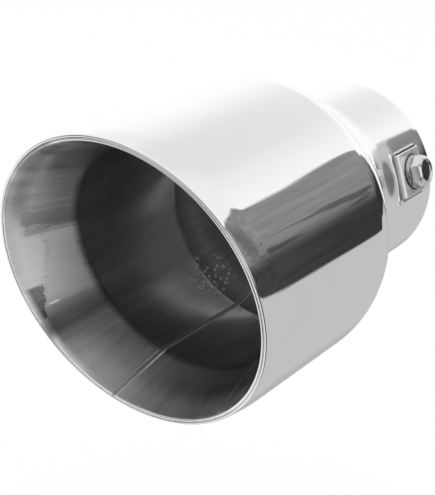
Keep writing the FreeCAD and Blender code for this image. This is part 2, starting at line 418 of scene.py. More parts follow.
def at_clamp(axes):
    """How far out towards the clamp a point is, and how far to its side."""
    turn = math.radians(CLAMP_ANGLE)
    outward = axes[0] * math.cos(turn) + axes[2] * math.sin(turn)
    return outward, axes[2] * math.cos(turn) - axes[0] * math.sin(turn)


def noise(maker, point, scale, stretch=(1, 1, 1), detail=2.0, roughness=0.5):
    mapped = maker.node("ShaderNodeMapping", None, {"Vector": point, "Scale": stretch})
    inputs = {"Vector": mapped, "Scale": scale, "Detail": detail, "Roughness": roughness}
    return maker.node("ShaderNodeTexNoise", None, inputs)


def flat_noise(maker, place, detail):
    """Noise over a plane of two numbers."""
    inputs = {"Vector": place, "Scale": 1.0, "Detail": detail}
    return maker.node("ShaderNodeTexNoise", {"noise_dimensions": "2D"}, inputs)


print("clamp at", CLAMP_ANGLE, "degrees above +X")

# %% [markdown]
# The press that cut the tongue left a satin patch on the neck in front of the tongue. The rest
# is painted light round the cuts: a dark oval in the patch is a painted reflection of the bolt,
# painted shade darkens the cut walls and a thin line below the tongue, and painted highlights
# brighten a thin line above the tongue and one at the slit's front edge. Such lines could be
# modelled as tiny steps, but a mirror hides steps this small. So each one is a mask with limits
# along the tube and across the clamp.

# %% Press marks on the neck
# Limits are low, high and softness, in metres
PATCH_ALONG, PATCH_ACROSS = mm(-37.0, -23.6, 2.5), mm(-8.0, 12.5, 2.5)
OVAL_PLACE, OVAL_HALF, OVAL_EDGE = mm(-31.2, 1.8), mm(3.4, 6.2), (0.6, 1.4)
CUT_WALL, CUT_ALONG = mm(34.4, 34.7), mm(-30.5, -4.0, 0.5)
SIDE_ALONG, DARK_SIDE, BRIGHT_SIDE = mm(-22.5, -7.0, 0.3), mm(-9.4, -8.3, 0.1), mm(8.3, 9.1, 0.1)
SLIT_LINE, SLIT_ACROSS = mm(-26.5, -25.8, 0.1), mm(-9.2, 9.2, 0.2)
CLAMP_SIDE = mm(0.0, 10.0)


def press_marks(maker, axes, radius):
    """The satin patch, and the painted reflection, shade and highlights round the cuts."""
    along = axes[1]
    outward, across = at_clamp(axes)
    near = maker.step(outward, *CLAMP_SIDE)
    patch = maker.between(along, *PATCH_ALONG) * maker.between(across, *PATCH_ACROSS) * near
    # painted reflection of the bolt: a dark oval in the satin patch
    lengthwise = (along - OVAL_PLACE[0]) / OVAL_HALF[0]
    sideways = (across - OVAL_PLACE[1]) / OVAL_HALF[1]
    oval = maker.below(lengthwise * lengthwise + sideways * sideways, *OVAL_EDGE)
    # painted shade on the cut walls and in a thin line below the tongue, which are also rougher
    walls = maker.below(radius, *CUT_WALL) * maker.between(along, *CUT_ALONG)
    beside = maker.between(along, *SIDE_ALONG) * near
    cut_shade_and_matte = walls.maths("MAXIMUM", maker.between(across, *DARK_SIDE) * beside)
    # painted highlight: a thin line above the tongue, made with a lower Metallic
    bright = maker.between(across, *BRIGHT_SIDE) * beside
    # painted highlight along the slit's front edge
    slit_highlight = maker.between(along, *SLIT_LINE) * maker.between(across, *SLIT_ACROSS) * near
    return patch, oval, cut_shade_and_matte, bright, slit_highlight


print("satin patch:", round((PATCH_ALONG[1] - PATCH_ALONG[0]) / MM, 1), "mm long")

# %% [markdown]
# The shell is a mirror. A perfect one looks like plastic in a render. What makes it real is
# small: fine rings from the polishing wheel, a faint waviness from spinning and a thin haze. A
# painted dark line runs along the shoulder's crest, with a fainter one beside it: a painted
# reflection of the dark that the real crest shows near its outline. Rings, haze and waves could
# come from one texture, but each acts on another property of the steel, so each has its own.

# %% Polished steel
# the first two limits hold painted dark reflection lines along the shoulder's crest
CREST_LINE, FAINT_LINE = mm(-65.4, -65.0, 0.15), mm(-63.9, -63.7, 0.1)
NECK_START, ROLLED_ALONG = mm(-44.0, -34.0), mm(-46.0, -28.0, 4.0)
WHEEL_RINGS, ROLLER_RINGS = 2200, 1300


def polished_steel():
    material, maker, shader = new_material("mirror polished steel")
    point, axes = object_axes(maker)
    radius, cosine, _ = tube_coordinates(maker, axes)
    along = axes[1]
    rings = maker.vector(radius * WHEEL_RINGS, along * WHEEL_RINGS, cosine * 3.0)
    wheel = noise(maker, rings, 1.0, detail=3.0, roughness=0.6)
    haze = noise(maker, point, 38.0, detail=4.0, roughness=0.6)
    waviness = noise(maker, point, 30.0, (1, 0.5, 1), roughness=0.45)
    drawn = noise(maker, point, 420.0, (1, 0.035, 1))
    grain = noise(maker, point, 300.0, detail=3.0, roughness=0.6)
    # painted reflection: dark lines along the shoulder's crest, which are also a little rougher
    painted_crest_line = maker.between(along, *CREST_LINE) + maker.between(along, *FAINT_LINE) * 0.4
    patch, oval, cut_shade_and_matte, bright, slit_highlight = press_marks(maker, axes, radius)

    # the tone carries the painted shade at the cuts and the bolt's painted reflection
    tone = 0.915 + haze * 0.035 - painted_crest_line * 0.42 - cut_shade_and_matte * 0.6
    tone = tone - patch * (0.05 + grain * 0.2 + oval * 0.42) * (1 - slit_highlight)
    rough = 0.03 + maker.step(haze, 0.5, 0.9) * 0.03 + wheel * 0.012 + painted_crest_line * 0.1
    rough = rough + maker.step(along, *NECK_START) * 0.035 + patch * 0.28 + cut_shade_and_matte * 0.3
    satin = patch * (0.45 - oval * 0.15) + slit_highlight * 0.3
    metal = 1 - satin.maths("MAXIMUM", bright * 0.6)
    roller = maker.between(along, *ROLLED_ALONG) * (along * ROLLER_RINGS).maths("SINE")
    height = waviness + wheel * 0.002 + roller * 0.1 + drawn * 0.5 + patch * grain * 1.5
    dress(maker, shader, maker.grey(tone), rough, metal, height, 0.10, 0.0004)
    return material


POLISHED = polished_steel()
print("shell finish:", POLISHED.name, "with", len(POLISHED.node_tree.nodes), "nodes")

# %% [markdown]
# The tongue was stamped, so it is satin and slightly stained. Painted shade darkens it in a
# ring round the washer, where the washer shades it, and on its rolled front, most of all low on
# the front. One even grey would do from afar, but the clamp is what the eye goes to, so the
# tongue has a finish of its own.

# %% Stamped steel
SEAT_RING = mm(6.1, 6.9)
ROLLED_FRONT = mm(tongue_front + 0.25, tongue_front + 0.9)
LOW_FRONT = mm(tongue_top - 1.7, tongue_top - 1.0)


def stamped_steel():
    material, maker, shader = new_material("stamped tongue steel")
    point, axes = object_axes(maker)
    outward, across = at_clamp(axes)
    from_bolt = axes[1] - CLAMP_Y * MM
    from_bolt = (across * across + from_bolt * from_bolt).maths("SQRT")
    grain = noise(maker, point, 1500.0, (1, 0.12, 1), detail=3.0, roughness=0.6)
    stain = noise(maker, point, 320.0, detail=3.0, roughness=0.6)
    # painted shade: a ring round the washer, the rolled front, and most of all the front's low part
    seat = maker.below(from_bolt, *SEAT_RING)
    front = maker.below(axes[1], *ROLLED_FRONT)
    low = front * maker.below(outward, *LOW_FRONT)
    tone = 0.84 - seat * 0.7 - front * 0.08 - low * 0.34
    tone = tone + (stain - 0.5) * 0.3 + (grain - 0.5) * 0.1
    metal = 0.68 - front * 0.18 + seat * 0.2
    height = grain + stain * 2.0
    dress(maker, shader, maker.grey(tone), 0.26 + stain * 0.12, metal, height, 0.15, 0.00008)
    return material


STAMPED = stamped_steel()
print("tongue finish:", STAMPED.name, "with", len(STAMPED.node_tree.nodes), "nodes")

# %% [markdown]
# The liner is duller than the shell. Its lip was buffed by hand and partly only brushed, the
# tube was left plain, and a weld runs along it. A painted image could hold all its marks, but
# it would blur and show a seam. Here each mark is a mask, worked out from two measures: the
# *depth* of a point, in from the rim, and its *rise*, round the tube in degrees from the left
# side upwards.

# %% Places on the liner
DEGREES = 180 / math.pi
TUBE_EDGE, REDUCER_EDGE = mm(41.2, 39.6), mm(39.9, 39.2)


def liner_places(maker):
    """Where a point of the liner is, and the patterns and fields that its marks share."""
    point, axes = object_axes(maker)
    x, along, z = axes
    radius, cosine, sine = tube_coordinates(maker, axes)
    depth = along + z * SLANT - mouth_y * MM
    rise = z.maths("ARCTAN2", x * -1.0) * DEGREES
    lengthwise = maker.vector(cosine * 22, along * 26, sine * 22)
    return SimpleNamespace(
        point=point, x=x, along=along, radius=radius, depth=depth, rise=rise,
        from_weld=(sine.maths("ARCTAN2", cosine) - math.radians(WELD_ANGLE)) * radius,
        streaks=noise(maker, lengthwise, 1.0, detail=5.0, roughness=0.55),
        broad=noise(maker, point, 40.0, (1, 0.6, 1), detail=3.0),
        ragged=noise(maker, point, 260.0, detail=3.0, roughness=0.6),
        tube=maker.step(radius, *TUBE_EDGE), reducer=maker.step(radius, *REDUCER_EDGE),
        deep=maker.step(depth, *mm(8.0, 26.0)),
        top=maker.step(rise, 25.0, 50.0), under=maker.below(rise, -60.0, -40.0))


print("rim at depth 0, tube from depth", LIP_DEPTH, "mm")

# %% [markdown]
# The liner has more than thirty marks. Nodes of its own could mix each one in, but then it
# would be hard to see what a mark does. So they are kept in tables, and a row says where the
# mark is and what it does there: how much of the steel looks plain, how light it is and how
# rough.

# %% Tables of marks
PLAIN, TONE, ROUGH = 1, 2, 3


def layered(value, rows, column):
    """A value plus each row's mask times the row's amount in one column."""
    for row in rows:
        if row[column]:
            value = value + row[0] * row[column]
    return value


print("columns of a mark: plain", PLAIN, "tone", TONE, "rough", ROUGH)

# %% [markdown]
# The lip's left side was only brushed near the rim, and a ragged edge with short hairs parts
# that patch from the buffed steel. Further down, painted dark reflections darken the brushed
# patch and the buffed steel beside it, painted highlights draw a bright line at the end of the
# buffed part and a fainter one above it, and painted shade darkens a band along the brushed
# area's upper edge.

# %% Brushed marks on the lip
PATCH_DEPTH, PATCH_MIDDLE, PATCH_SPREAD = 12.5 * MM, -6.0, 25.0


def brushed_marks(maker, here):
    """The brushed area, its patch by the rim, and the hairs, shades and glints at its edge."""
    depth, rise = here.depth, here.rise
    inner = maker.step(depth, *mm(3.0, 7.0))
    wavy = rise + (here.streaks - 0.5) * 14.0
    brushed = maker.step(rise, -39.0, -27.0) * maker.below(wavy, inner * -2.5, 12.0 - inner * 8.0)
    bulge = (rise - PATCH_MIDDLE) / PATCH_SPREAD
    edge = PATCH_DEPTH * math.e ** (bulge * bulge * -1.0) + (here.ragged - 0.5) * 0.004
    patch = maker.below(depth - edge, *mm(-0.3, 0.3))
    slanted = maker.vector((depth + rise * 0.0008) * 2600, (depth - rise * 0.0008) * 260)
    hairs = (flat_noise(maker, slanted, 2.0) - 0.5) * maker.between(rise, -31.0, 3.0, 5.0)
    hairs = hairs * maker.between(depth - edge, *mm(-1.3, 1.2, 0.6))
    # painted dark reflection, low on the brushed patch and on the buffed steel beside it
    low_patch_dark_reflection = patch * maker.between(rise, -37.0, -23.4, 0.9) * maker.step(depth, *mm(-0.4, 2.6))
    low_buffed_dark_reflection = (1 - patch) * maker.between(rise, -38.0, -32.8, 0.8)
    # painted highlights: a bright line at the end of the buffed part, and a fainter one above it
    glint = maker.between(rise, -32.6, -31.7, 0.25) * maker.between(depth, *mm(6.0, 9.8, 0.8))
    faint = maker.between(rise, -22.9, -22.2, 0.25) * maker.between(depth, *mm(1.0, 6.0, 0.6))
    near_rim = maker.below(depth, *mm(0.5, 4.0))
    return [
        # mask, plain, tone, rough
        (brushed, 0.34, 0, 0.22),
        (brushed * patch, 0.14, 0, 0),
        (brushed * maker.step(depth, *mm(10.0, 30.0)), -0.12, 0, 0),
        (brushed * near_rim, 0, -0.16, 0),
        # painted shade along the upper edge of the brushed band
        (maker.between(wavy, 0.0, 10.0, 2.5) * inner, 0, -0.14, 0),
        (hairs, 0.7, 1.7, 0),
        (low_patch_dark_reflection, -0.24, -0.58, 0),
        (low_buffed_dark_reflection, 0, -0.14, 0),
        (glint + faint * 0.4, 0.4, 0.3, 0),
    ]


print("brushed patch:", round(PATCH_DEPTH / MM, 1), "mm deep at a rise of", PATCH_MIDDLE, "degrees")

# %% [markdown]
# The lip mirrors the room as well, and its cone folds the reflection into darker stripes. The
# world alone would give them only if every wall of the room were known. So masks by depth and
# rise draw them, over a thin haze.

# %% Folds on the lip
HAZE_ACROSS = mm(-30.0, 22.0)


def lip_folds(maker, here):
    """The haze on the lip, and the darker folds where it bends the room's reflection."""
    deep, top, under = here.deep, here.top, here.under
    haze = maker.below(here.x, *HAZE_ACROSS) * (0.13 + under * 0.15)
    fold = maker.between(here.rise, -45.0, -38.0, 2.5)
    side = maker.between(here.rise, 12.0, 32.0, 5.0)
    by_rim = maker.below(here.depth, *mm(4.0, 11.0))
    return [
        # mask, plain, tone, rough
        (haze * (0.25 + here.broad * 1.5), 1.0, 0, 0),
        (here.streaks - 0.5, 0.12, 0, 0),
        (fold, 0, -0.42, 0),
        (fold * maker.step(here.depth, *mm(3.0, 9.0)), 0, 0.14, 0),
        (deep * top, 0, -0.65, 0),
        (deep * under, 0, -0.25, 0),
        (side * by_rim, 0, -0.38, 0),
        (side * (1 - by_rim) * (1 - deep), 0, 0.15, 0),
        (maker.between(here.rise, 34.0, 60.0, 4.0) * by_rim, 0, -0.5, 0),
        (maker.step(here.rise, -10.0, 12.0) * (1 - top), 0, 0, 0.2),
    ]


print("haze thins out over", round((HAZE_ACROSS[1] - HAZE_ACROSS[0]) / MM), "mm across the lip")

# %% [markdown]
# The weld lies along the whole liner. Light catches its two sides as thin bright lines, and
# its crown is dark. Water has dried beside it in a loose group of small round spots. Spots
# could be scattered discs, but they have no thickness, so a cell pattern inside a ragged
# round mask draws them.

# %% Weld and water
WATER_PLACE, WATER_EDGE = mm(-21.2, -55.6, -32.8), mm(5.5, 9.5)
SPOT_SCALE, SPOT_EDGE = 580.0, (0.26, 0.50)
WELD_CROWN = mm(0.5, 0.7)
WELD_BRIGHT_SIDE, WELD_FAINT_SIDE = mm(0.6, 1.0, 0.12), mm(-1.1, -0.75, 0.12)


def weld_marks(maker, here):
    """The weld's crown, and what the dark crown and its two bright sides do to the steel."""
    tube, depth = here.tube, here.depth
    crown = maker.below(here.from_weld.maths("ABSOLUTE"), *WELD_CROWN)
    sides = maker.between(here.from_weld, *WELD_BRIGHT_SIDE)
    sides = sides + maker.between(here.from_weld, *WELD_FAINT_SIDE) * 0.4
    lip_crown, lip_sides = crown * (1 - tube * 0.6), sides * (1 - tube * 0.7)
    return crown, [
        # mask, plain, tone, rough
        (lip_crown, 0.04, 0, 0),
        (lip_crown * maker.step(depth, *mm(10.0, 24.0)), 0.26, 0, 0),
        (crown * (1 - tube), 0, -0.45, 0),
        (crown, 0, 0, 0.2),
        (lip_sides, 0.12, 0, 0),
        (lip_sides * maker.step(depth, *mm(8.0, 24.0)), 0.68, 0, 0),
        (sides * here.deep, 0, 0.25, 0),
        (sides, 0, 0.05, 0.2),
    ]


def water_marks(maker, here):
    """Where the liner was wet, and the spots that dried there."""
    inputs = {0: here.point, 1: WATER_PLACE}
    centre = maker.node("ShaderNodeVectorMath", {"operation": "DISTANCE"}, inputs, "Value")
    wet = maker.below(centre + (here.broad - 0.5) * 0.02, *WATER_EDGE) * here.tube
    cells = maker.node("ShaderNodeTexVoronoi", None, {"Vector": here.point, "Scale": SPOT_SCALE})
    return wet, maker.below(cells + (here.ragged - 0.5) * 0.5, *SPOT_EDGE) * wet


print("water spots about", round(1000 / SPOT_SCALE, 1), "mm apart")

# %% [markdown]
# The liner's finish joins these marks. The lip's values turn into the tube's at the bend, and
# those into the reducer's. Then come the marks that lie on all of it.

# %% Liner steel
LIP_BASE = {PLAIN: 0.04, TONE: 0.94, ROUGH: 0.05}
TUBE_PLAIN, TUBE_ROUGH, REDUCER_PLAIN = 0.02, 0.20, 0.36
TUBE_TONE, INNER_TUBE_TONE, INNER_TUBE = 0.30, 0.26, mm(-98.0, -66.0)
OUTSIDE_R, OUTSIDE_ALONG = mm(33.1, 33.4), mm(-34.0, -32.0)
DARKEST, LIGHTEST, WELD_RIPPLES = 0.1, 0.96, 12000


def liner_steel():
    material, maker, shader = new_material("rolled liner steel")
    here = liner_places(maker)
    tube = here.tube
    crown, along_weld = weld_marks(maker, here)
    wet, spots = water_marks(maker, here)
    lip = brushed_marks(maker, here) + lip_folds(maker, here)
    lip_plain, lip_tone, lip_rough = [layered(base, lip, k) for k, base in LIP_BASE.items()]
    plain = maker.blend(tube, lip_plain, TUBE_PLAIN + wet * 0.08 + spots * 0.8)
    plain = maker.blend(here.reducer, plain, REDUCER_PLAIN)
    tube_tone = TUBE_TONE + maker.step(here.along, *INNER_TUBE) * INNER_TUBE_TONE
    tone = maker.blend(tube, lip_tone, tube_tone)
    rough = maker.blend(tube, lip_rough, TUBE_ROUGH)

    # the neck's slit shows the sleeve's outer face, which is rougher and darkened by painted shade
    sleeve_shade = maker.step(here.radius, *OUTSIDE_R) * maker.step(here.along, *OUTSIDE_ALONG)
    everywhere = [
        # mask, plain, tone, rough
        (here.streaks - 0.5, 0, 0.20, 0),
        (here.streaks, 0, 0, 0.05),
        (here.broad - 0.5, 0, 0.14, 0),
        (here.under * maker.below(here.depth, *mm(4.0, 14.0)), 0.10, 0, 0),
        (here.reducer, 0, -0.18, 0.3),
        # painted shade on the sleeve where the slit shows it, which is also rougher
        (sleeve_shade, 0, -0.7, 0.3),
        (spots, 0, 0.5, 0.2),
    ] + along_weld
    plain = layered(plain, everywhere, PLAIN).maths("MAXIMUM", 0.0)
    tone = layered(tone, everywhere, TONE).maths("MINIMUM", LIGHTEST).maths("MAXIMUM", DARKEST)
    rough = layered(rough, everywhere, ROUGH)
    ripples = (here.along * WELD_RIPPLES).maths("SINE") * crown * (1 - tube)
    height = here.streaks * 0.35 + here.broad * 1.8 + spots * 0.10 + ripples * 0.05
    dress(maker, shader, maker.grey(tone), rough, 1 - plain, height, 0.22, 0.0004)
    return material


LINER = liner_steel()
print("liner finish:", LINER.name, "with", len(LINER.node_tree.nodes), "nodes")

# %% [markdown]
# Bolt, washer and nut are bright plated steel. They share one function, because they differ
# only in tone. The bolt's flats are drawn wire, so below its turned crown it is more satin.

# %% Fastener steel
BELOW_CROWN = mm(head_x + 2.6, head_x + 3.0)


def fastener_steel(name, tone, satin=0.0):
    """Plated steel of one tone. `satin` is the plain share of the flats below the crown."""
    material, maker, shader = new_material(name)
    point, axes = object_axes(maker)
    flats = maker.below(at_clamp(axes)[0], *BELOW_CROWN) * satin
    stain = noise(maker, point, 420.0, detail=3.0, roughness=0.6)
    grain = noise(maker, point, 2600.0)
    dark, light = [(tone * k, tone * k, tone * (k + 0.01), 1) for k in (0.7, 1.15)]
    colour = maker.colour(stain, dark, light)
    dress(maker, shader, colour, 0.08 + stain * 0.14 + flats * 0.4, 1 - flats, grain, 0.2, 0.00005)
    return material


BOLT = fastener_steel("bright bolt steel", 0.84, 0.26)
WASHER = fastener_steel("washer steel", 0.54)
NUT = fastener_steel("plain nut steel", 0.5)
print("fastener finishes:", [material.name for material in (BOLT, WASHER, NUT)])

# %% [markdown]
# The outer shell's half section is made of straight runs and tangent arcs. A few points and
# smooth shading would do for a painted tube. A mirror shows a crease wherever the curve is
# coarse, so each arc has many points, and each straight run has some too.

# %% Parts of a half section
def arc(centre, radius, start, end, steps, slides=0.0):
    """Points of an arc from one angle to another, in degrees, without the last one."""
    points = []
    for k in range(steps):
        angle = math.radians(start + (end - start) * k / steps)
        x, y = centre[0] + radius * math.cos(angle), centre[1] + radius * math.sin(angle)
        points.append((x, y, slides))
    return points


def run(a, b, count):
    """Points of a straight run from a to b, without the last one."""
    return [tuple(p + (q - p) * k / count for p, q in zip(a, b)) for k in range(count)]


def ogee(big_r, small_r, convex, concave, small_y, steps):
    """Two tangent arcs from the small tube out to the big one, and the place where they end."""
    turn = math.degrees(math.acos(1 - (big_r - small_r) / (convex + concave)))
    big_y = small_y - (convex + concave) * math.sin(math.radians(turn))
    points = arc((small_r + concave, small_y), concave, 180, 180 + turn, steps)
    points += arc((big_r - convex, big_y), convex, turn, 0, steps)
    return points, big_y


outer_arcs, outer_y = ogee(BODY_R, NECK_OUT, SHOULDER_R, COLLAR_R, -NECK_STRAIGHT, 30)
inner_arcs, inner_y = ogee(BODY_R - WALL, NECK_IN, SHOULDER_R - WALL, COLLAR_R + WALL,
                           -NECK_STRAIGHT, 10)
print("shoulder and collar:", round(-NECK_STRAIGHT - outer_y, 1), "mm long")

# %% [markdown]
# The shell runs from the neck's rounded end over the collar and the shoulder to the body,
# curls in at the mouth, turns round its rim and comes back inside. All of that is one closed
# section, so the sheet has its real thickness and needs no Solidify.

# %% Outer shell
SHEET_STEPS = 384
END_ROUND, INNER_ROUND = 0.2, 0.1
curl_degrees = math.degrees(curl_turn)
curl_centre = (BODY_R - curl_r, mouth_y + CURL_LENGTH)


def on_curl(radius):
    """The point of the curl's end at a distance from the curl's centre."""
    x, y = curl_centre
    return (x + radius * math.cos(curl_turn), y - radius * math.sin(curl_turn))


shell_section = arc((NECK_OUT - END_ROUND, -END_ROUND), END_ROUND, 90, 0, 4)
shell_section += run((NECK_OUT, -END_ROUND, 0), (NECK_OUT, -NECK_STRAIGHT, 0), 12)
shell_section += outer_arcs
shell_section += run((BODY_R, outer_y, 0), (BODY_R, curl_centre[1], 1), 14)
shell_section += arc(curl_centre, curl_r, 0, -curl_degrees, 12, 1)
rim_centre = on_curl(curl_r - edge_half)
shell_section += arc(rim_centre, edge_half, -curl_degrees, -curl_degrees - 180, 10, 1)
shell_section += arc(curl_centre, curl_r - WALL, -curl_degrees, 0, 4, 1)
shell_section += run((BODY_R - WALL, curl_centre[1], 1), (BODY_R - WALL, inner_y, 0), 3)
shell_section += inner_arcs[::-1]
shell_section += run((NECK_IN, -NECK_STRAIGHT + 0.5, 0), (NECK_IN, -INNER_ROUND, 0), 6)
shell_section += [(NECK_IN, -INNER_ROUND, 0), (NECK_IN + INNER_ROUND, 0, 0)]

shell = spin("outer_skin", shell_section, SHEET_STEPS, POLISHED)

# %% [markdown]
# A Boolean takes a closed cutter out of a sheet. A cutter could be drawn where it cuts, but
# its sizes are easier to read with the bolt along +X, where it is a plain box or a prism. So
# it is drawn there and then turned to the clamp's place round the neck.

# %% Cutters
AT_CLAMP = Matrix.Rotation(math.radians(-CLAMP_ANGLE), 4, "Y")
CUT_FROM, CUT_TO = 20.0, 45.0


def block(name, low, high):
    """A box between two corners, at the clamp's place."""
    work = bmesh.new()
    bmesh.ops.create_cube(work, size=1.0)
    size = mm(*[b - a for a, b in zip(low, high)])
    middle = mm(*[(a + b) / 2 for a, b in zip(low, high)])
    bmesh.ops.scale(work, vec=size, verts=work.verts)
    bmesh.ops.translate(work, vec=middle, verts=work.verts)
    mesh = bpy.data.meshes.new(name)
    work.to_mesh(mesh)
    work.free()
    mesh.transform(AT_CLAMP)
    return new_piece(name, mesh)


def prism(name, outline):
    """A cutter with an outline of (along, across), drawn out through the neck's wall."""
    count = len(outline)
    points = [(x * MM, y * MM, z * MM) for x in (CUT_FROM, CUT_TO) for y, z in outline]
    faces = [tuple(range(count)), tuple(range(2 * count - 1, count - 1, -1))]
    faces += [(k, (k + 1) % count, (k + 1) % count + count, k + count) for k in range(count)]
    mesh = bpy.data.meshes.new(name)
    mesh.from_pydata(points, [], faces)
    mesh.transform(AT_CLAMP)
    facing_out(mesh)
    return new_piece(name, mesh)


print("cutters reach from", CUT_FROM, "to", CUT_TO, "mm off the tube's axis")

# %% [markdown]
# The tongue is cut free on three sides with a press tool, and a round-ended slit in front of
# it gives room for its rolled lip. Both are real holes that one can look through, so they are
# cut and not painted. After a cut only sharp edges stay crisp, so the mirror beside the hole
# keeps its smooth shading.

# %% Openings in the neck
CRISP_ANGLE = math.radians(40)
WINDOW_OVERLAP = 0.5


def cut_with(piece, cutter):
    """Cuts a shape out of a piece and keeps its cut edges crisp."""
    modifier = piece.modifiers.new("cut", "BOOLEAN")
    modifier.operation = "DIFFERENCE"
    modifier.solver = "EXACT"
    modifier.object = cutter
    settled(piece)
    bpy.data.objects.remove(cutter)
    mesh = piece.data
    mesh.polygons.foreach_set("use_smooth", [True] * len(mesh.polygons))
    mesh.set_sharp_from_angle(angle=CRISP_ANGLE)


def slot_outline(low, high, length, steps=16):
    """The outline, as (along, across), of a round-ended slot that runs round the neck."""
    radius, middle = (high - low) / 2, (high + low) / 2
    half = length / 2 - radius
    points = []
    for side in (1, -1):
        for k in range(steps + 1):
            angle = math.pi * k / steps
            along = middle + side * radius * math.cos(angle)
            points.append((along, side * (half + radius * math.sin(angle))))
    return points


half_window = TONGUE_WIDTH / 2 + SHEAR_GAP
ramp_y = tongue_rear + TONGUE_RAMP
slit_y = tongue_front - SLIT_WIDTH
window = block("window", (CUT_FROM, tongue_front - WINDOW_OVERLAP, -half_window),
               (CUT_TO, ramp_y, half_window))
cut_with(shell, window)
cut_with(shell, prism("slit", slot_outline(slit_y, tongue_front, SLIT_LENGTH)))
print("outer skin after cutting:", len(shell.data.polygons), "faces")

# %% [markdown]
# The tongue itself is one bent strip: round where it leaves the neck, flat under the washer,
# and rolled over at its free end, so that the end bites on the tailpipe. A flat plate with a
# bend modifier would miss the round root. So one function says where the tongue's top is, and
# a rounded strip outline is carried along it, ring by ring.

# %% The tongue's surface
bend_start = ramp_y - (tongue_front + TONGUE_BEND)
bend_length = TONGUE_BEND * math.pi / 2
bend_x = tongue_top - TONGUE_BEND


def tongue_point(across, travel):
    """A point on the tongue's top, from its place across and its travel from the root."""
    if travel <= TONGUE_RAMP:
        part = max(0.0, travel / TONGUE_RAMP)
        part = part * part * (3 - 2 * part)
        round_x = math.sqrt(NECK_OUT ** 2 - across ** 2)
        return Vector((round_x + (tongue_top - round_x) * part, ramp_y - travel, across))
    if travel <= bend_start:
        return Vector((tongue_top, ramp_y - travel, across))
    if travel <= bend_start + bend_length:
        angle = (travel - bend_start) / TONGUE_BEND
        x, y = TONGUE_BEND * math.cos(angle), TONGUE_BEND * (1 - math.sin(angle))
        return Vector((bend_x + x, tongue_front + y, across))
    return Vector((bend_x - (travel - bend_start - bend_length), tongue_front, across))


def tongue_normal(across, travel, small=0.01):
    """The outward direction of the tongue's top."""
    along = tongue_point(across, travel + small) - tongue_point(across, travel - small)
    sideways = tongue_point(across + small, travel) - tongue_point(across - small, travel)
    return sideways.cross(along).normalized()


tongue_travel = bend_start + bend_length + bend_x - (SLEEVE_IN + LIP_GAP)
print("tongue:", round(tongue_travel, 1), "mm from its root to its edge, along the bend")

# %% [markdown]
# A bent strip and a bolt are both one outline after another, so the same helper makes them
# from rings of points. The strip's outline is a rounded rectangle, and its long sides are cut
# into many parts, because the tongue's root is round.

# %% Outlines and rings
STRIP_CORNER = 0.16


def strip_loop(width, thickness, corner, count=20, corner_steps=4):
    """A rounded rectangle as (across, depth), with its long sides cut into many parts."""
    flat = width / 2 - corner
    loop = []
    for side, depth, start in ((1, 0.0, -90), (-1, thickness, 90)):
        loop += [(side * flat * (2 * k / count - 1), depth) for k in range(1, count)]
        for turned, level in ((0, depth + side * corner), (90, thickness - depth - side * corner)):
            for k in range(corner_steps + 1):
                angle = math.radians(start + turned + 90 * k / corner_steps)
                across, down = corner * math.cos(angle), corner * math.sin(angle)
                loop.append((side * flat + across, level + down))
    return loop


def tube_of_rings(name, rings, material):
    """A closed mesh through rings of points, with flat ends, at the clamp's place."""
    count = len(rings[0])
    points = [point * MM for ring in rings for point in ring]
    faces = []
    for r in range(len(rings) - 1):
        for k in range(count):
            a, b = r * count + k, r * count + (k + 1) % count
            faces.append((a, b, b + count, a + count))
    faces.append(tuple(range(count)))
    last = (len(rings) - 1) * count
    faces.append(tuple(range(last + count - 1, last - 1, -1)))
    mesh = bpy.data.meshes.new(name)
    mesh.from_pydata(points, [], faces)
    mesh.transform(AT_CLAMP)
    facing_out(mesh)
    mesh.set_sharp_from_angle(angle=CRISP_ANGLE)
    mesh.materials.append(material)
    return new_piece(name, mesh)


loop = strip_loop(TONGUE_WIDTH, WALL, STRIP_CORNER)
print("the strip's outline has", len(loop), "points")

# %% [markdown]
# The rings stand close together where the strip bends and further apart where it is flat. The
# hole for the bolt is cut later, together with the nut's.

# %% Clamp tongue
stations = [0.0, 0.15] + [TONGUE_RAMP * k / 12 for k in range(1, 13)]
stations += [TONGUE_RAMP + 1.5 * k for k in range(1, 9) if TONGUE_RAMP + 1.5 * k < bend_start - 0.2]
stations += [bend_start - 0.15, bend_start]
stations += [bend_start + bend_length * k / 10 for k in range(1, 11)]
stations += [tongue_travel - 0.2, tongue_travel]
rings = [[tongue_point(across, travel) - tongue_normal(across, travel) * depth
          for across, depth in loop] for travel in stations]
tongue = tube_of_rings("clamp_tongue", rings, STAMPED)
print("tongue:", len(rings), "rings of", len(loop), "points")

# %% [markdown]
# The inner liner is rolled from sheet and welded along its length. Its lip is a cone that
# runs parallel to the slanted mouth, and a small bend joins it to the straight tube. Behind
# that it narrows to the sleeve inside the neck, where the tailpipe slides in. It follows the
# same rule as the shell, so the same tree spins it.

# %% The liner's section
tube_out, sleeve_out = TUBE_IN + WALL, SLEEVE_IN + WALL
rim_in = on_curl(curl_r - WALL)
lip_out = (rim_in[0] - GAP, rim_in[1])
foot = (tube_out, mouth_y + LIP_DEPTH)
lip_turn = math.atan2(lip_out[0] - foot[0], foot[1] - lip_out[1])
lip_degrees = math.degrees(lip_turn)
lip_in = (lip_out[0] - math.cos(lip_turn) * WALL, lip_out[1] - math.sin(lip_turn) * WALL)
lip_centre = ((lip_out[0] + lip_in[0]) / 2, (lip_out[1] + lip_in[1]) / 2)
bend_centre = (foot[0] + LIP_BEND, foot[1] + LIP_BEND * math.tan(lip_turn / 2))
bend_in, bend_out = [(bend_centre[0] - radius * math.cos(lip_turn),
                      bend_centre[1] - radius * math.sin(lip_turn))
                     for radius in (LIP_BEND + WALL, LIP_BEND)]
inside_arcs, reducer_y = ogee(TUBE_IN, SLEEVE_IN, REDUCER_R - WALL, REDUCER_R + WALL,
                              -SLEEVE_LENGTH, 16)
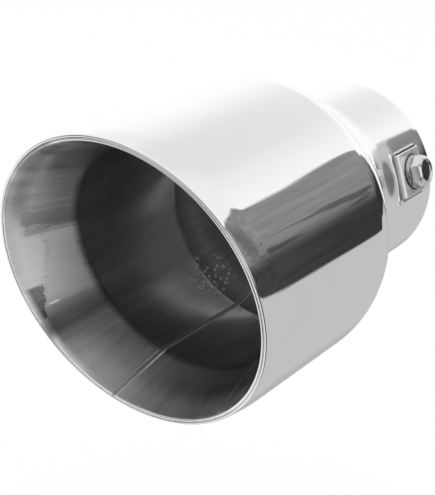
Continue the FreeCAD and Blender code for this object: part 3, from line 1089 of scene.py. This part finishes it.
outside_arcs, reducer_out_y = ogee(tube_out, sleeve_out, REDUCER_R, REDUCER_R, -SLEEVE_LENGTH, 8)
SLEEVE_ROUND, SLEEVE_EDGE = 0.15, 0.04

liner_section = [(SLEEVE_IN + SLEEVE_ROUND, 0, 0), (SLEEVE_IN + SLEEVE_EDGE, -SLEEVE_EDGE, 0),
                 (SLEEVE_IN, -SLEEVE_ROUND, 0)]
liner_section += run((SLEEVE_IN, -0.5, 0), (SLEEVE_IN, -SLEEVE_LENGTH, 0), 16)
liner_section += inside_arcs
liner_section += run((TUBE_IN, reducer_y, 0), (TUBE_IN, bend_centre[1], 1), 14)
liner_section += arc(bend_centre, LIP_BEND + WALL, 180, 180 + lip_degrees, 10, 1)
liner_section += run((*bend_in, 1), (*lip_in, 1), 10)
liner_section += arc(lip_centre, edge_half, 180 + lip_degrees, 360 + lip_degrees, 10, 1)
liner_section += run((*lip_out, 1), (*bend_out, 1), 4)
liner_section += arc(bend_centre, LIP_BEND, 180 + lip_degrees, 180, 4, 1)
liner_section += run((tube_out, bend_centre[1], 1), (tube_out, reducer_out_y, 0), 3)
liner_section += outside_arcs[::-1]
liner_section += run((sleeve_out, -SLEEVE_LENGTH + 0.5, 0), (sleeve_out, -SLEEVE_ROUND, 0), 6)
liner_section += [(sleeve_out, -SLEEVE_ROUND, 0), (sleeve_out - SLEEVE_ROUND, 0, 0)]
print("lip:", round(lip_degrees, 1), "degrees off the tube's line")

# %% [markdown]
# The square nut sits in a window of the sleeve, so that it can't turn, and the slit in front
# of it goes through both layers. The cuts are the same kind as in the neck.

# %% Inner liner
liner = spin("liner_skin", liner_section, SHEET_STEPS, LINER)
half_pocket = NUT_WIDTH / 2 + NUT_GAP
pocket = block("pocket", (CUT_FROM, CLAMP_Y - half_pocket, -half_pocket),
               (CUT_TO, CLAMP_Y + half_pocket, half_pocket))
cut_with(liner, pocket)
sleeve_slit = slot_outline(slit_y, CLAMP_Y - NUT_WIDTH / 2, SLIT_LENGTH)
cut_with(liner, prism("sleeve slit", sleeve_slit))
print("liner skin after cutting:", len(liner.data.polygons), "faces")

# %% [markdown]
# The liner's long weld is a bead with fine ripples, laid down a step at a time. It follows a
# path, so it is a Geometry Nodes piece too: the path is cut into short equal steps, a ripple
# changes the bead's radius at each step, and a circle is drawn along it.

# %% Bead tree
STEPS_PER_RIPPLE, BEAD_SIDES = 8, 20


def bead_tree():
    sockets = {"Path": "Geometry", "Radius": "Float", "Ripple": "Float", "Pitch": "Float",
               "Finish": "Material"}
    tree, maker, given = tree_with_inputs("weld bead along a path", sockets)
    pitch = given["Pitch"]
    curve = maker.node("GeometryNodeMeshToCurve", None, {"Mesh": given["Path"]})
    inputs = {"Curve": curve, "Length": pitch / STEPS_PER_RIPPLE}
    fine = maker.node("GeometryNodeResampleCurve", {"mode": "LENGTH"}, inputs)
    travel = maker.node("GeometryNodeSplineParameter", output="Length")
    inputs = {"W": travel * 900, "Detail": 1.0}
    wander = maker.node("ShaderNodeTexNoise", {"noise_dimensions": "1D"}, inputs)
    wave = (travel / pitch * math.tau).maths("SINE") + (wander - 0.5) * 1.5
    size = given["Radius"] * (1 + given["Ripple"] * wave)
    inputs = {"Resolution": BEAD_SIDES, "Radius": 1.0}
    ring = maker.node("GeometryNodeCurvePrimitiveCircle", None, inputs)
    inputs = {"Curve": fine, "Profile Curve": ring, "Scale": size, "Fill Caps": True}
    bead = maker.node("GeometryNodeCurveToMesh", None, inputs)
    finish_tree(maker, tree, bead, given["Finish"])
    return tree


BEAD = bead_tree()
print("bead tree:", len(BEAD.nodes), "nodes")

# %% [markdown]
# The bead's path starts just inside the rim, bends with the lip and ends where the tube
# narrows. It lies below the steel's surface, so that only the crown of the bead stands out.

# %% Long weld
RIPPLE, PITCH, FROM_RIM = 0.035, 1.1, 1.5


def on_weld(point):
    """A point of the half section, slid to the slant and turned to the weld's line, in metres."""
    r, y, slides = point
    angle = math.radians(WELD_ANGLE)
    z = r * math.sin(angle)
    return mm(r * math.cos(angle), y - slides * SLANT * z, z)


sunk = WELD_R - WELD_RISE
out_x, out_y = math.cos(lip_turn), math.sin(lip_turn)
weld_path = [(lip_in[0] + out_x * sunk - out_y * FROM_RIM,
              lip_in[1] + out_y * sunk + out_x * FROM_RIM, 1)]
weld_path += [(bend_in[0] + out_x * sunk, bend_in[1] + out_y * sunk, 1)]
weld_path += [(TUBE_IN + sunk, bend_centre[1], 1), (TUBE_IN + sunk, reducer_y, 0)]
path_mesh = bpy.data.meshes.new("weld path")
path_edges = [(k, k + 1) for k in range(len(weld_path) - 1)]
path_mesh.from_pydata([on_weld(point) for point in weld_path], path_edges, [])
weld = new_piece("long_weld", path_mesh)
add_tree(weld, "bead", BEAD, Radius=WELD_R * MM, Ripple=RIPPLE, Pitch=PITCH * MM, Finish=LINER)
print("weld bead:", len(weld.data.polygons), "faces")

# %% [markdown]
# The bolt is M6 with a six-sided head, a chamfered top and a shallow dish. A cylinder and a
# hexagon could be joined, but the head's outline changes from a circle to a hexagon and back.
# So it is a stack of rings, and each ring gives a radius for every angle. The hexagon's
# corners are slightly rounded, and its top falls away towards them.

# %% The head's outline
CORNER_ROUND = 0.35
CROWN_START, CROWN_SLOPE, CROWN_SOFT = 4.1, 0.52, 0.08


def hexagon_radius(angle):
    """The radius of a hexagon with rounded corners, at an angle from one of them."""
    inradius = HEAD_FLATS / 2
    turned = (angle + math.pi / 6) % (math.pi / 3) - math.pi / 6
    sharp = inradius / math.cos(math.pi / 6 - abs(turned))
    corner_axis = (inradius - CORNER_ROUND) / math.cos(math.pi / 6)
    offset = corner_axis * math.sin(abs(turned))
    if offset < CORNER_ROUND:
        rounded = corner_axis * math.cos(turned) + math.sqrt(CORNER_ROUND ** 2 - offset ** 2)
        return min(sharp, rounded)
    return sharp


def crown(radius):
    """The height of the head's top, which falls away towards its corners after a soft edge."""
    beyond = max(0.0, radius - CROWN_START)
    return HEAD_HEIGHT - CROWN_SLOPE * (math.hypot(beyond, CROWN_SOFT) - CROWN_SOFT)


print("bolt's head:", round(2 * hexagon_radius(0.0), 2), "mm across its corners")

# %% [markdown]
# From the dish outwards the rings climb to its rim, slope down to the flats and end under the
# head. Most are plain circles or hexagons. Those on the slope are both: their radius grows in
# parts from the circle to the hexagon, and their height follows it.

# %% Rings of the head
BOLT_STEPS, CHAMFER_INSET, DISH_R = 192, 0.06, CROWN_START - 0.2
# from the dish's rim outwards, and below the top
DISH = ((-3.3, 0.62), (-0.5, 0.6), (-0.15, 0.56), (-0.03, 0.42), (0.03, 0.1), (0.09, 0.02),
        (0.16, 0.0))
CHAMFER = (0.0, 0.05, 0.1, 0.16, 0.25, 0.4, 0.6, 0.8, 1.0)
# in from the flats, with the height above the washer
HEAD_FOOT = ((0.0, 0.25), (0.02, 0.08), (0.12, 0.0))


def clamp_ring(radius_at, height_at):
    """A ring of points about the bolt's axis, from functions of the angle."""
    ring = []
    for k in range(BOLT_STEPS):
        angle = math.tau * k / BOLT_STEPS
        radius, x = radius_at(angle), head_x + height_at(angle)
        ring.append(Vector((x, CLAMP_Y + radius * math.sin(angle), radius * math.cos(angle))))
    return ring


def plain_ring(radius, height):
    return clamp_ring(lambda angle: radius, lambda angle: height)


def hex_ring(inset, height):
    return clamp_ring(lambda angle: hexagon_radius(angle) - inset, lambda angle: height)


def chamfer_ring(part):
    """A ring on the sloping top, from the dish's land, part 0, to the flats, part 1."""
    def radius(angle):
        return CROWN_START + (hexagon_radius(angle) - CHAMFER_INSET - CROWN_START) * part

    return clamp_ring(radius, lambda angle: crown(radius(angle)))


def edge_ring(inset, drop):
    """A ring just below the slope's wavy edge."""
    return clamp_ring(lambda angle: hexagon_radius(angle) - inset,
                      lambda angle: crown(hexagon_radius(angle)) - drop)


bolt_rings = [plain_ring(DISH_R + out, HEAD_HEIGHT - down) for out, down in DISH]
bolt_rings += [chamfer_ring(part) for part in CHAMFER]
bolt_rings += [edge_ring(0.015, 0.08), edge_ring(0.0, 0.2)]
bolt_rings += [hex_ring(inset, height) for inset, height in HEAD_FOOT]
print("head so far:", len(bolt_rings), "rings of", BOLT_STEPS, "points")

# %% [markdown]
# The thread is a ridge that climbs once round for each pitch. A spiral profile joined to the
# shank would need cleaning up where they meet. Here the ridge is in the ring's radius, which
# depends on both the angle and the depth, so the shank stays one closed surface.

# %% The bolt's shank
SHANK_R, THREAD_R = 2.96, 2.97
NECK_RINGS = ((3.1, 0.0), (SHANK_R, -0.12), (SHANK_R, -1.2))
THREAD_PITCH, THREAD_DEPTH, THREAD_START, THREAD_STEP, TIP = 1.0, 0.55, 1.2, 0.1, 0.45
shank_length = head_x - nut_in


def thread_ring(depth):
    """A ring at a depth below the head, with the thread's ridge and the tapered tip."""
    def radius(angle):
        phase = (depth / THREAD_PITCH + angle / math.tau) % 1.0
        ridge = min(1.0, max(0.0, 1.25 - abs(phase - 0.5) * 3.2))
        fade = min(1.0, (depth - THREAD_START) / 0.6)
        taper = max(0.0, depth - shank_length + TIP) * 0.9
        return THREAD_R - THREAD_DEPTH * (1 - ridge) * fade - taper

    return clamp_ring(radius, lambda angle: -depth)


bolt_rings += [plain_ring(radius, height) for radius, height in NECK_RINGS]
threaded = shank_length - THREAD_START
thread_steps = int(threaded / THREAD_STEP)
bolt_rings += [thread_ring(THREAD_START + threaded * (k + 1) / thread_steps)
               for k in range(thread_steps)]
bolt = tube_of_rings("hex_bolt", bolt_rings, BOLT)
print("bolt:", len(bolt_rings), "rings,", len(bolt.data.polygons), "faces")

# %% [markdown]
# The washer is a turned piece, so the same tree spins it. Its section is a rectangle with
# small rounded corners. It is spun round Y and then laid with its axis along the bolt. The
# nut is a square plate with a hole. A Bevel modifier rounds its edges, which is enough for a
# piece that hardly shows.

# %% Washer and nut
WASHER_STEPS, WASHER_CORNER, CIRCLE_STEPS = 128, 0.25, 96
NUT_HOLE_R, BOLT_HOLE_R, NUT_BEVEL = 3.03, 3.2, 0.25


def circle_outline(radius):
    """The outline, as (along, across), of a round hole for the bolt."""
    turns = [math.tau * k / CIRCLE_STEPS for k in range(CIRCLE_STEPS)]
    return [(CLAMP_Y + radius * math.sin(turn), radius * math.cos(turn)) for turn in turns]


washer_section = []
far_r, near_r = WASHER_R - WASHER_CORNER, BOLT_HOLE_R + WASHER_CORNER
high_y, low_y = WASHER_THICK - WASHER_CORNER, WASHER_CORNER
washer_corners = ((far_r, high_y, 90), (far_r, low_y, 0), (near_r, low_y, 270),
                  (near_r, high_y, 180))
for x, y, start in washer_corners:
    washer_section += arc((x, y), WASHER_CORNER, start, start - 90, 4)
washer = spin("plain_washer", washer_section, WASHER_STEPS, WASHER)
onto_bolt = Matrix.Translation(mm(washer_x, CLAMP_Y, 0))
onto_bolt = onto_bolt @ Matrix.Rotation(math.radians(-90), 4, "Z")
washer.data.transform(AT_CLAMP @ onto_bolt)

half_nut = NUT_WIDTH / 2
nut = block("square_nut", (nut_in, CLAMP_Y - half_nut, -half_nut),
            (nut_out, CLAMP_Y + half_nut, half_nut))
nut.data.materials.append(NUT)
bevel = nut.modifiers.new("edges", "BEVEL")
bevel.width = NUT_BEVEL * MM
bevel.segments = 3
settled(nut)
cut_with(nut, prism("nut hole", circle_outline(NUT_HOLE_R)))
cut_with(tongue, prism("bolt hole", circle_outline(BOLT_HOLE_R)))
print("washer:", len(washer.data.polygons), "faces; nut:", len(nut.data.polygons), "faces")

# %% [markdown]
# Every piece rides on the one body of the part and stands for the solid that it replaces,
# which is hidden.

# %% Tie the pieces to the frame
pieces = {
    "outer_shell": [shell, tongue],
    "inner_liner": [liner, weld],
    "clamp_bolt": [bolt],
    "clamp_washer": [washer],
    "clamp_nut": [nut],
}
for node, made in pieces.items():
    for piece in made:
        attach(piece, "root")
        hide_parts(node)
print("pieces:", [piece.name for made in pieces.values() for piece in made])

# %% [markdown]
# The steel is a mirror, so the surroundings are half of its look. The photograph was taken
# on a pale table, in front of a white back wall, under a white ceiling, with a darker room
# to the front and the right. Real walls and furniture round the part would do it too, but the
# world can give the same greys by direction alone: a *bearing* round the room and a *height*
# above the level, both in degrees.

# %% Directions in the room
ROOM_UP = Vector((-0.11489, 0.0, 0.99338))
ROOM_FRONT = Vector((0.54924, -0.83325, 0.06352))
ROOM_RIGHT = ROOM_UP.cross(ROOM_FRONT)


def bearing_and_height(maker):
    """Where a ray goes: round the room from its front, and above the level."""
    ray = maker.node("ShaderNodeTexCoord", output="Generated")
    settings = {"operation": "DOT_PRODUCT"}
    up, front, right = [maker.node("ShaderNodeVectorMath", settings, {0: ray, 1: side}, "Value")
                        for side in (ROOM_UP, ROOM_FRONT, ROOM_RIGHT)]
    return right.maths("ARCTAN2", front) * DEGREES, up.maths("ARCSINE") * DEGREES


print("room tilted", round(math.degrees(ROOM_UP.angle((0, 0, 1))), 1), "degrees against the part")

# %% [markdown]
# Below, the table is pale at the back and dark in front, where the photographer's side of it
# lies in shadow. Above, the back wall and the ceiling are white and fall off a little.

# %% Table and walls
# Limits are low, high and softness, in degrees
NEAR_EDGE, RAISED_EDGE = (-105.0, 65.0, 12.0), (118.0, 141.0, 2.5)
TABLE_FRONT, TABLE_LEFT, TABLE_FAR = (-22.0, 66.0, 9.0), (-112.0, -22.0, 9.0), (160.0, 174.0, 6.0)


def table_and_edge(maker, bearing):
    """The table's grey, and the height at which it ends."""
    edge = maker.blend(maker.between(bearing, *NEAR_EDGE), -13.0, -25.0)
    edge = edge + maker.between(bearing, *RAISED_EDGE) * 4.8
    grey = 0.56 - maker.between(bearing, *TABLE_FAR) * 0.10
    grey = grey + maker.between(bearing, *TABLE_LEFT) * 0.30
    return maker.blend(maker.between(bearing, *TABLE_FRONT), grey, 0.08), edge


def white_walls(maker, bearing, height):
    """The back wall and the ceiling."""
    shaded = maker.step(bearing, 120.0, 145.0) * maker.below(bearing, 162.0, 178.0)
    shaded = shaded * maker.below(height, 48.0, 72.0)
    return 1.04 - maker.step(height, 14.0, 38.0) * (0.13 + shaded * 0.11)


print("table:", TABLE_FRONT[1] - TABLE_FRONT[0], "degrees of it lie in shadow")

# %% [markdown]
# The dark room gives the shell its long dark band, and its things give the band its streaks.
# Soft noise stands for them, since nobody can tell what they are. The room's top drops in
# steps towards the back wall.

# %% Dark room
# A drop is given by the bearings where it starts and ends, and by how many degrees it falls
ROOM_TOP = 29.8
ROOM_DROPS = ((112.0, 120.0, 6.3), (123.0, 125.4, 7.0), (126.0, 136.0, 7.0), (134.0, 147.0, 22.2))
WINDOW_BEARING, WINDOW_HEIGHT = (20.0, 74.0, 4.0), (-9.0, 26.0, 3.0)
POST_BEARING, POST_HEIGHT = (96.0, 104.0, 2.5), (7.0, 25.0, 5.0)
EYE_LEVEL, LEFT_WALL = (3.0, 11.0, 2.5), (-92.0, -80.0)


def room_top(maker, bearing):
    top = ROOM_TOP
    for low, high, drop in ROOM_DROPS:
        top = top - maker.step(bearing, low, high) * drop
    return top


def dark_room(maker, bearing, height):
    """The room's grey, with darker things at eye level, a post, a left wall and a window."""
    things = flat_noise(maker, maker.vector(bearing * 0.26, height * 0.32), 3.0)
    darker = maker.step(things, 0.50, 0.60) * maker.between(height, *EYE_LEVEL)
    darker = darker * maker.step(bearing, 98.0, 106.0)
    post = maker.between(bearing, *POST_BEARING) * maker.between(height, *POST_HEIGHT)
    low_grey = 0.052 - maker.step(bearing, 108.0, 120.0) * 0.020
    grey = maker.blend(maker.step(height, 0.0, 9.0), low_grey, 0.26)
    grey = grey * (0.65 + things * 0.7) * (1 - darker * 0.6) * (1 - post * 0.4)
    grey = maker.blend(maker.below(bearing, *LEFT_WALL), grey, 0.36)
    window = maker.between(bearing, *WINDOW_BEARING) * maker.between(height, *WINDOW_HEIGHT)
    return maker.blend(window, grey, 1.0)


print("dark room: up to", ROOM_TOP, "degrees high, with", len(ROOM_DROPS), "drops")

# %% [markdown]
# The world puts the fields together, each with a thin soft border. Diffuse light comes from
# an even pale room, and the camera itself sees plain white, as in the photograph.

# %% Surroundings
BORDER, LEFT_BACK = (-0.8, 0.8), (-122.0, -112.0)
SEEN_BY = {"Is Diffuse Ray": 0.9, "Is Camera Ray": 1.0}


def build_world():
    world = bpy.data.worlds.new("studio")
    world.use_nodes = True
    maker = Maker(world.node_tree)
    bearing, height = bearing_and_height(maker)
    table, table_edge = table_and_edge(maker, bearing)
    above_room = maker.step(height - room_top(maker, bearing), *BORDER)
    white = above_room.maths("MAXIMUM", maker.below(bearing, *LEFT_BACK))
    room = dark_room(maker, bearing, height)
    level = maker.blend(white, room, white_walls(maker, bearing, height))
    level = maker.blend(maker.step(height - table_edge, *BORDER), table, level)
    for ray, seen in SEEN_BY.items():
        level = maker.blend(maker.node("ShaderNodeLightPath", output=ray), level, seen)
    background = world.node_tree.nodes["Background"]
    grey = maker.vector(level, level, level)
    world.node_tree.links.new(grey.socket, background.inputs["Color"])
    return world


scene.world = build_world()
print("world:", len(scene.world.node_tree.nodes), "nodes")

# %% [markdown]
# The floor is a wide pale sheet below the part, which hangs on its tailpipe. The camera sees
# it almost white, with a little of the soft shadow left. The steel gets its table from the
# world, so the floor keeps out of the reflections.

# %% Floor
FLOOR_DROP, FLOOR_R, FLOOR_GREY, SHADOW_HIDDEN = 0.16, 3.0, 0.93, 0.9


def floor_material():
    material, maker, shader = new_material("pale floor")
    tree = material.node_tree
    shader.inputs["Base Color"].default_value = (FLOOR_GREY, FLOOR_GREY, FLOOR_GREY, 1)
    shader.inputs["Roughness"].default_value = 0.9
    hidden = maker.node("ShaderNodeLightPath", output="Is Camera Ray") * SHADOW_HIDDEN
    glow = maker.node("ShaderNodeEmission")
    plain = Value(maker, shader.outputs[0])
    mix = maker.node("ShaderNodeMixShader", None, {0: hidden, 1: plain, 2: glow})
    tree.links.new(mix.socket, tree.nodes["Material Output"].inputs["Surface"])
    return material


def disc(name, radius, material, place):
    work = bmesh.new()
    bmesh.ops.create_circle(work, cap_ends=True, segments=64, radius=radius)
    mesh = bpy.data.meshes.new(name)
    work.to_mesh(mesh)
    work.free()
    mesh.materials.append(material)
    piece = new_piece(name, mesh)
    piece.matrix_world = place
    return piece


floor = disc("floor", FLOOR_R, floor_material(), Matrix.Translation((0, -0.05, -FLOOR_DROP)))
floor.visible_glossy = False
print("floor:", FLOOR_DROP, "m below the tube's axis")

# %% [markdown]
# A dim round card closes the inlet, because the real tube looks into a dark room there, and
# the steel inside mirrors it. The camera doesn't see the card itself.

# %% Dark card
CARD_R, CARD_GREY, CARD_Y = 0.0322, 0.10, 0.003


def card_material():
    material, _, shader = new_material("dim room behind the inlet")
    shader.inputs["Base Color"].default_value = (0, 0, 0, 1)
    shader.inputs["Specular IOR Level"].default_value = 0.0
    shader.inputs["Emission Color"].default_value = (CARD_GREY, CARD_GREY, CARD_GREY, 1)
    shader.inputs["Emission Strength"].default_value = 1.0
    return material


upright = Matrix.Rotation(math.radians(90), 4, "X")
card = disc("dim_card", CARD_R, card_material(), Matrix.Translation((0, CARD_Y, 0)) @ upright)
card.visible_camera = False
print("stage:", [piece.name for piece in (floor, card)])

# %% [markdown]
# The world gives nearly all of the light. A wide lamp above the part only adds the soft
# shadow, and it keeps out of the reflections, where its disc would show.

# %% Lamp and view
LAMP_PLACE, LAMP_SIZE, LAMP_POWER = (0.1, -0.2, 1.3), 1.6, 6.0

lamp_data = bpy.data.lights.new("soft lamp", "AREA")
lamp_data.shape = "DISK"
lamp_data.size = LAMP_SIZE
lamp_data.energy = LAMP_POWER
lamp = bpy.data.objects.new("soft lamp", lamp_data)
lamp.location = LAMP_PLACE
lamp.visible_glossy = False
scene.collection.objects.link(lamp)
scene.view_settings.view_transform = "Standard"
print("lamp:", LAMP_POWER, "W at", LAMP_PLACE[2], "m")

# %% [markdown]
